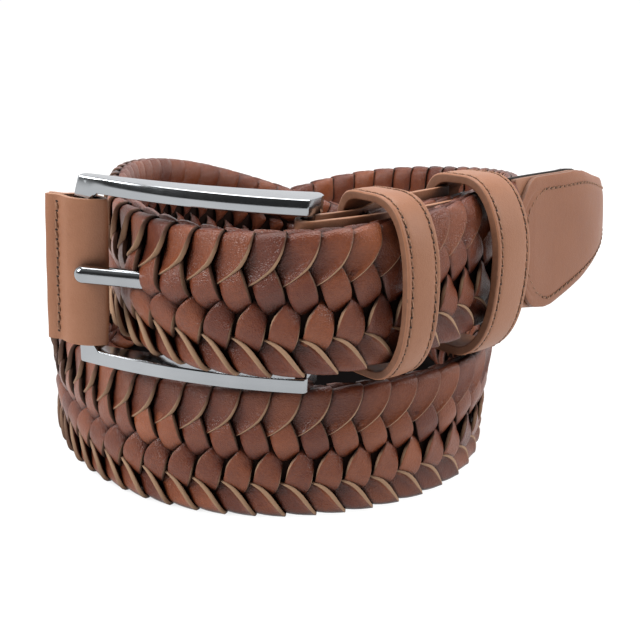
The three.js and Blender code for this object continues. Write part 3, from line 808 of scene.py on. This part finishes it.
def wrap_piece():
    front = np.array([(x, FRONT_BAR[1] - d) for x, d in WRAP_FACE])
    back = np.array([(x, FRONT_BAR[1] + d) for x, d in reversed(WRAP_FACE)])
    line = catmull(np.vstack([front, back]), 84)
    tangent = np.gradient(line, axis=0)
    normal = np.stack([tangent[:, 1], -tangent[:, 0]], -1)
    normal /= np.linalg.norm(normal, axis=1, keepdims=True)
    inside = line - normal * 1.28
    side = np.where(np.arange(len(line)) < len(line) / 2, -1.0, 1.0)
    fin = line[:, 0] < -31.0
    gap = inside[:, 1] - FRONT_BAR[1]
    inside[:, 1] = np.where(fin, FRONT_BAR[1] + side * np.maximum(gap * side, 0.07), inside[:, 1])
    z = np.linspace(-WRAP_HALF, WRAP_HALF, 27)
    out = np.array([[(x, y, zz) for zz in z] for x, y in line])
    inn = np.array([[(x, y, zz) for zz in z] for x, y in inside])
    swell = 0.14 * np.cos(np.pi * z / (2 * WRAP_HALF)) + 0.05 * np.sin(z * 0.55 + 0.6)
    n3 = np.stack([normal[:, 0], normal[:, 1], 0 * normal[:, 0]], -1)
    out = out + n3[:, None, :] * swell[None, :, None]
    obj = panel("bar_sleeve", at_frame(out.reshape(-1, 3)).reshape(out.shape), at_frame(inn.reshape(-1, 3)).reshape(inn.shape),
                [TAN, LIT_TAN_EDGE], bevel=0.38, segments=3)
    return obj


settle(wrap_piece(), ["bar_wrap"])
z = np.linspace(-WRAP_HALF + 2.2, WRAP_HALF - 1.6, 60)
runs = []
for sign in (-1, 1):
    x = np.full_like(z, -34.3) + 0.12 * np.sin(z * 0.5)
    swell = 0.14 * np.cos(np.pi * z / (2 * WRAP_HALF)) + 0.05 * np.sin(z * 0.55 + 0.6)
    points = at_frame(np.stack([x, FRONT_BAR[1] + sign * (1.33 + swell), z], -1))
    above = at_frame(np.stack([x, FRONT_BAR[1] + sign * (2.33 + swell), z], -1))
    runs.append((points, above - points))
settle(stitches("sleeve_stitches", runs, spacing=2.35, radius=0.36, slant=0.16), ())

# ---------------------------------------------------------------- free tip
TIP = np.array([(1001, -0.1, 35.3), (1009, -1.2, 35.3), (1016, -2.2, 35.3), (1020, -2.0, 35.3), (1027, -0.5, 35.2),
                (1035, 1.3, 35.0), (1043, 2.8, 34.0), (1051, 4.0, 31.9), (1059, 5.5, 29.3), (1067, 7.6, 26.8),
                (1075, 10.2, 24.4), (1082, 13.0, 22.0), (1087, 15.8, 19.8)], float)


def tip_edges(s):
    low, high = np.interp(s, TIP[:, 0], TIP[:, 1]), np.interp(s, TIP[:, 0], TIP[:, 2])
    end = 1 - np.sqrt(np.clip(1 - np.clip((s - 1080) / 7.6, 0, 1) ** 2, 0, 1))
    middle = (low + high) / 2
    return low + (middle - low) * end * 0.55, high + (middle - high) * end * 0.55


def curl(s, h):
    """How far the tip's upper and lower borders lean in where it turns away."""
    s, h = np.asarray(s, float), np.asarray(h, float)
    low, high = tip_edges(s)
    turn = np.exp(-((s - 1053) / 13.0) ** 2)
    top = np.clip((h - (high - 6.5)) / 6.5, 0, 1) ** 2
    foot = np.clip((low + 5.0 - h) / 5.0, 0, 1) ** 2
    return -(0.25 + 1.55 * turn) * top - (0.15 + 0.75 * turn) * foot - 0.5 * turn * np.clip((h - 17.5) / 17.5, 0, 1)


def tip_layer(name, node, start, back, front, inset, clip, materials, puff=0.0, groove=None, open_back=0.0):
    s = np.unique(np.concatenate([np.linspace(start, start + 10, 21), np.arange(start + 10, 1078, 1.4), np.linspace(1078, 1087, 13)]))
    low, high = tip_edges(s)
    low, high = low + inset, high - inset
    cut = np.maximum(0, clip - (s - start))
    cut = cut + 0.7 * np.exp(-((s - start - clip) / 1.4) ** 2) * (clip > 0)
    low, high = low + cut, high - cut
    q = np.array([0, 0.5, 1.1, 1.8, 2.4, 2.8, 3.2, 3.6, 4.0, 4.5, 5.4, 7.0])
    cols = []
    for a, b in zip(low, high):
        half = (b - a) / 2
        d = np.minimum(q, half * q / 7.4)
        cols.append(np.concatenate([a + d, [a + half * 0.6 + d[-1] * 0.4, a + half, b - half * 0.6 - d[-1] * 0.4], (b - d)[::-1]]))
    h = np.array(cols)
    ss = np.repeat(s[:, None], h.shape[1], 1)
    rim = np.minimum(h - low[:, None], high[:, None] - h)
    rim = np.minimum(rim, np.minimum(ss - start, 1087 - ss))
    n_out = front - 0.22 * np.exp(-rim / 0.5) + puff * np.clip(rim / 7.0, 0, 1) ** 0.7
    if groove is not None:
        for near, at in ((high[:, None] - h, groove[0]), (h - low[:, None], groove[1])):
            n_out = n_out - 0.13 * np.exp(-((near - at) / 0.42) ** 2)
    n_out = n_out + 0.05 * np.sin(ss * 0.31) * np.cos(h * 0.27)
    lean = curl(ss, h)
    n_in = back + lean - open_back * np.exp(-((ss - 1046) / 13.0) ** 2) * np.clip((h - 20) / 14, 0, 1)
    outer = bend(ss.ravel(), h.ravel(), (n_out + lean).ravel()).reshape(ss.shape + (3,))
    inner = bend(ss.ravel(), h.ravel(), n_in.ravel()).reshape(ss.shape + (3,))
    settle(panel(name, outer, inner, materials, bevel=0.3, segments=3), [node])


tip_layer("tip_base_leather", "tip_base", 1001.0, -0.62, 0.98, 0.0, 0.0, [TAN, TAN_EDGE])
tip_layer("tip_cap_leather", "tip_cap", 1001.2, 1.05, 2.42, 0.12, 6.5, [TIP_TAN, TAN_EDGE], puff=0.35, groove=(3.7, 2.6))
tip_layer("tip_lining_leather", "tip_lining", 1001.0, -1.9, -0.70, -0.35, 0.0, [NEAR_BLACK_TIP_BACK, NEAR_BLACK_TIP_BACK], open_back=1.1)

# Stitch line of the cap: along, height.
TIP_SEAM = [(1003.9, 17.5), (1004.1, 22.4), (1004.8, 26.0), (1008.3, 29.2), (1014.0, 31.4), (1019, 31.5), (1025.2, 31.4), (1034.2, 31.2), (1042, 30.5),
            (1050, 28.8), (1058, 26.3), (1066, 23.7), (1074, 21.3), (1080.5, 19.4), (1083.0, 17.8), (1080.8, 16.2), (1074, 13.2),
            (1066, 10.2), (1058, 8.0), (1050, 6.4), (1042, 5.3), (1034.5, 3.8), (1026.8, 2.1), (1019.5, 0.6), (1016.3, 0.6), (1011.5, 2.4), (1008.1, 4.9),
            (1005.4, 8.2), (1004.2, 12.6), (1003.9, 17.5)]
seam = catmull([(a, b, 0) for a, b in TIP_SEAM], 420)[:, :2]
lean = curl(seam[:, 0], seam[:, 1])
points = bend(seam[:, 0], seam[:, 1], 2.56 + lean)
above = bend(seam[:, 0], seam[:, 1], 3.56 + lean)
settle(stitches("tip_stitches", [(points, above - points)], spacing=2.6), ())

# ---------------------------------------------------------------- buckle
def frame_depth(x):
    t = np.clip((np.asarray(x) + FRAME_LENGTH / 2) / FRAME_LENGTH, 0, 1)
    return 3.4 + 7.2 * t ** 0.75


BAR, END_X = 3.8, 29.7


def tube(verts, faces, sections):
    """Adds a capped tube of equal sections."""
    base, m, n = len(verts), len(sections), len(sections[0])
    for sec in sections:
        verts += [tuple(p) for p in sec]
    faces += [tuple(base + i for i in f) for f in grid_faces(m, n)]
    faces += [tuple(base + i for i in reversed(range(n))), tuple(base + (m - 1) * n + i for i in range(n))]


def frame_piece():
    verts, faces = [], []
    half = FRAME_HEIGHT / 2
    for sign in (1, -1):
        xs = np.concatenate([[-0.5 * FRAME_LENGTH - 0.25, -0.5 * FRAME_LENGTH - 0.05, -0.5 * FRAME_LENGTH + 0.35], np.linspace(-27.6, 27.6, 42),
                             [27.95, 28.15, 28.35, 28.8, 29.2, 29.4, 29.55, END_X]])
        sections = []
        for x in xs:
            yf, deep = float(frame_front(x)), float(frame_depth(x))
            left = min(max((x + 0.5 * FRAME_LENGTH + 0.25) / 0.6, 0), 1)
            shrink = 0.45 * (1 - math.sqrt(max(0, 1 - (1 - left) ** 2)))
            corner_x, back_by = (28.15, 4.5) if sign > 0 else (29.2, 1.2)
            chamfer = back_by * max(0.0, (x - corner_x) / (END_X - corner_x))
            chamfer += 0.22 * max(0.0, 1 - abs(x - corner_x) / 0.3)
            tall = BAR
            corner = min(max((-23.4 - x) / 1.4, 0), 1)
            tall += 1.9 * corner * corner * (3 - 2 * corner)
            slant = -1.3 * corner if sign > 0 else -0.2 * corner
            top, low = half - shrink, half - tall + shrink * 0.6
            r = 0.34
            y0, y1 = yf + chamfer + shrink, yf + deep - shrink * 0.5 - (0.35 if x > 29.6 else 0.0)
            if sign > 0:
                y1 -= 3.3 * min(max((x - 27.0) / (END_X - 27.0), 0), 1) ** 2
            mid_z = (top + low) / 2
            span = (top - low)
            pts = []
            for q in np.linspace(0, 1, 9):
                z = top - r - (span - 2 * r) * q
                lean = math.tan(math.radians(3.0 * min(max((x + 26.5) / 4.5, 0), 1) + 11.5 * min(max((x + 24.0) / 21.0, 0), 1)))
                back = max(0.0, 0.5 - q)
                pts.append((y0 + lean * (span - 2 * r) * (back * back / (back + 0.06)) - 0.10 * (1 - (2 * q - 1) ** 2), z))
            y_top = pts[0][0]
            pts += [(y0 + 0.10, low + 0.12), (y0 + r, low), ((y0 + y1) / 2, low - 0.0), (y1 - r, low), (y1 - 0.1, low + 0.1), (y1, low + r),
                    (y1, mid_z), (y1, top - r), (y1 - 0.1, top - 0.1), (y1 - r, top), ((y0 + y1) / 2, top + 0.08), (y_top + r, top + 0.02), (y_top + 0.10, top - 0.10)]
            sections.append([(x + slant * (top - z) / span * (1 if x < -24 else 0), y, sign * z) for y, z in pts])
        tube(verts, faces, sections)
    for x, y, r in ((HINGE[0] - 0.5, HINGE[1] + 0.9, 1.5), (FRONT_BAR[0], FRONT_BAR[1], 1.6)):
        ring = []
        for z in np.linspace(-half + 1, half - 1, 9):
            ring.append([(x + r * math.cos(t), y + r * math.sin(t), z) for t in np.linspace(0, 2 * math.pi, 24, endpoint=False)])
        tube(verts, faces, ring)
    obj = make_object("buckle_frame_metal", at_frame(np.array(verts)), faces, [METAL])
    fix_normals(obj)
    return obj


def soften(obj, angle=24.0):
    """Keeps smooth shading, but splits it at the sharper edges."""
    bm = bmesh.new()
    bm.from_mesh(obj.data)
    for e in bm.edges:
        if len(e.link_faces) == 2:
            e.smooth = e.calc_face_angle(0.0) < math.radians(angle)
    bm.to_mesh(obj.data)
    bm.free()


frame_object = frame_piece()
soften(frame_object, 13.0)
settle(frame_object, ["buckle_frame"])

PRONG_TIP = (-27.75, -4.75)


def prong_piece():
    verts, faces = [], []
    a = np.array([HINGE[0], HINGE[1], 0.0])
    b = np.array([PRONG_TIP[0], PRONG_TIP[1], 0.75])
    line = a - b
    length = np.linalg.norm(line)
    line /= length
    side = np.cross(line, (0, 0, 1.0))
    side /= np.linalg.norm(side)
    up = np.cross(side, line)
    r0 = 2.2
    sections = []
    for d in np.concatenate([r0 * (1 - np.cos(np.linspace(0.12, math.pi / 2, 9))), np.linspace(3.0, length - 3.1, 30)]):
        r = r0 * math.sqrt(max(0.0, 1 - max(0.0, 1 - d / r0) ** 2))
        c = b + line * d
        ring = []
        for t in np.linspace(0, 2 * math.pi, 28, endpoint=False):
            ct, st = math.cos(t), math.sin(t)
            e = 2 / 2.5
            ring.append(c + side * (r * 0.92 * abs(ct) ** e * (1 if ct > 0 else -1)) + up * (r * abs(st) ** e * (1 if st > 0 else -1)))
        sections.append(ring)
    tube(verts, faces, sections)
    base = len(verts)
    rings = []
    for t in np.linspace(0, 2 * math.pi, 40, endpoint=False):
        ring = []
        for q in np.linspace(0, 2 * math.pi, 12, endpoint=False):
            rad = 3.15 + 0.85 * math.cos(q)
            ring.append((HINGE[0] + rad * math.cos(t), HINGE[1] + rad * math.sin(t), 2.2 * math.sin(q)))
        rings.append(ring)
    for ring in rings:
        verts += ring
    faces += [tuple(base + i for i in f) for f in grid_faces(40, 12, closed_rows=True)]
    obj = make_object("prong_metal", at_frame(np.array([tuple(v) for v in verts])), faces, [METAL])
    fix_normals(obj)
    return obj


settle(prong_piece(), ["prong"])

for node, material in (("chape", TAN), ("keeper_front", TAN), ("keeper_rear", TAN), ("buckle_frame", METAL), ("prong", METAL),
                       ("bar_wrap", TAN), ("tip_base", TAN), ("tip_cap", TAN), ("tip_lining", NEAR_BLACK_TIP_BACK), ("braided_strap", BRAID)):
    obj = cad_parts[node]
    obj.data.materials.clear()
    obj.data.materials.append(material)

# ---------------------------------------------------------------- floor and light
floor_mesh = bpy.data.meshes.new("floor")
floor_mesh.from_pydata([(-6, -6, 0), (6, -6, 0), (6, 6, 0), (-6, 6, 0)], [], [(0, 1, 2, 3)])
floor = bpy.data.objects.new("floor", floor_mesh)
bpy.context.scene.collection.objects.link(floor)
floor.location = (0, 0, -0.0002)
m, nt, bsdf = node_material("floor_white_with_painted_shadow")
at = texture_coordinates(nt)


def floor_shadow_ellipse(centre, half, edge):
    """0 inside an ellipse of painted shadow on the floor and 1 outside it."""
    shift = nt.nodes.new("ShaderNodeVectorMath")
    shift.operation = "SUBTRACT"
    shift.inputs[1].default_value = (centre[0] * MM, centre[1] * MM, 0.0)
    nt.links.new(at, shift.inputs[0])
    reach = nt.nodes.new("ShaderNodeVectorMath")
    reach.operation = "MULTIPLY"
    reach.inputs[1].default_value = (1 / (half[0] * MM), 1 / (half[1] * MM), 0.0)
    nt.links.new(shift.outputs["Vector"], reach.inputs[0])
    distance = nt.nodes.new("ShaderNodeVectorMath")
    distance.operation = "LENGTH"
    nt.links.new(reach.outputs["Vector"], distance.inputs[0])
    return ramp(nt, math_node(nt, "MULTIPLY", distance.outputs["Value"], 0.5),
                [(0.5 - edge, (0.0, 0.0, 0.0)), (0.51, (1.0, 1.0, 1.0))], "EASE")


# Painted shadow on the floor between the turns: inside these ellipses the floor is near-black and does not glow.
outside = mix(nt, 1.0, floor_shadow_ellipse((-20, -14), (63, 71), 0.05), floor_shadow_ellipse((30, 28), (22, 19), 0.22), "MULTIPLY")
outside = mix(nt, 1.0, outside, floor_shadow_ellipse((-64, 38), (17, 17), 0.12), "MULTIPLY")
speckle = ramp(nt, noise(nt, at, 2.0), [(0.0, (0.10, 0.10, 0.10)), (1.0, (0.13, 0.13, 0.13))])
colour = mix(nt, outside, (0.006, 0.005, 0.005), speckle)
nt.links.new(colour, bsdf.inputs["Base Color"])
nt.links.new(outside, bsdf.inputs["Emission Color"])
bsdf.inputs["Emission Strength"].default_value = 0.97
bsdf.inputs["Specular IOR Level"].default_value = 0.0
bsdf.inputs["Roughness"].default_value = 0.9
floor_mesh.materials.append(m)

world = bpy.data.worlds.new("studio")
bpy.context.scene.world = world
world.use_nodes = True
wt = world.node_tree
background = wt.nodes["Background"]
direction = wt.nodes.new("ShaderNodeSeparateXYZ")
wt.links.new(wt.nodes.new("ShaderNodeTexCoord").outputs["Generated"], direction.inputs[0])
front_sky = ramp(wt, direction.outputs["Z"], [(0.0, (0.6, 0.6, 0.6)), (0.01, (0.035, 0.035, 0.035)), (0.45, (0.05, 0.05, 0.05)),
                                              (0.75, (0.16, 0.16, 0.16)), (1.0, (0.30, 0.30, 0.30))])
back_sky = ramp(wt, direction.outputs["Z"], [(0.0, (1.1, 1.1, 1.1)), (0.30, (1.1, 1.1, 1.12)), (0.60, (0.60, 0.60, 0.61)),
                                             (1.0, (0.35, 0.35, 0.35))])
facing_back = math_node(wt, "MULTIPLY_ADD", direction.outputs["Y"], 2.5, clamp=True)
facing_back.node.inputs[2].default_value = 0.6
wt.links.new(mix(wt, facing_back, front_sky, back_sky), background.inputs["Color"])
background.inputs["Strength"].default_value = 1.0


def area(name, location, target, size, power):
    data = bpy.data.lights.new(name, "AREA")
    data.shape = "RECTANGLE"
    data.size, data.size_y = size
    data.energy = power
    obj = bpy.data.objects.new(name, data)
    bpy.context.scene.collection.objects.link(obj)
    obj.location = location
    obj.rotation_euler = (Vector(target) - Vector(location)).to_track_quat("-Z", "Y").to_euler()
    return obj


area("key", (-1.00, -0.55, 0.90), (0, 0, 0.04), (0.45, 0.75), 16.0)
area("right", (1.05, -0.25, 0.75), (0, 0, 0.05), (0.40, 0.75), 8.0)
area("top", (0.05, 0.25, 1.20), (0, 0, 0.04), (0.9, 0.9), 15.0)

bpy.context.scene.view_settings.view_transform = "Standard"
bpy.context.scene.view_settings.look = "None"
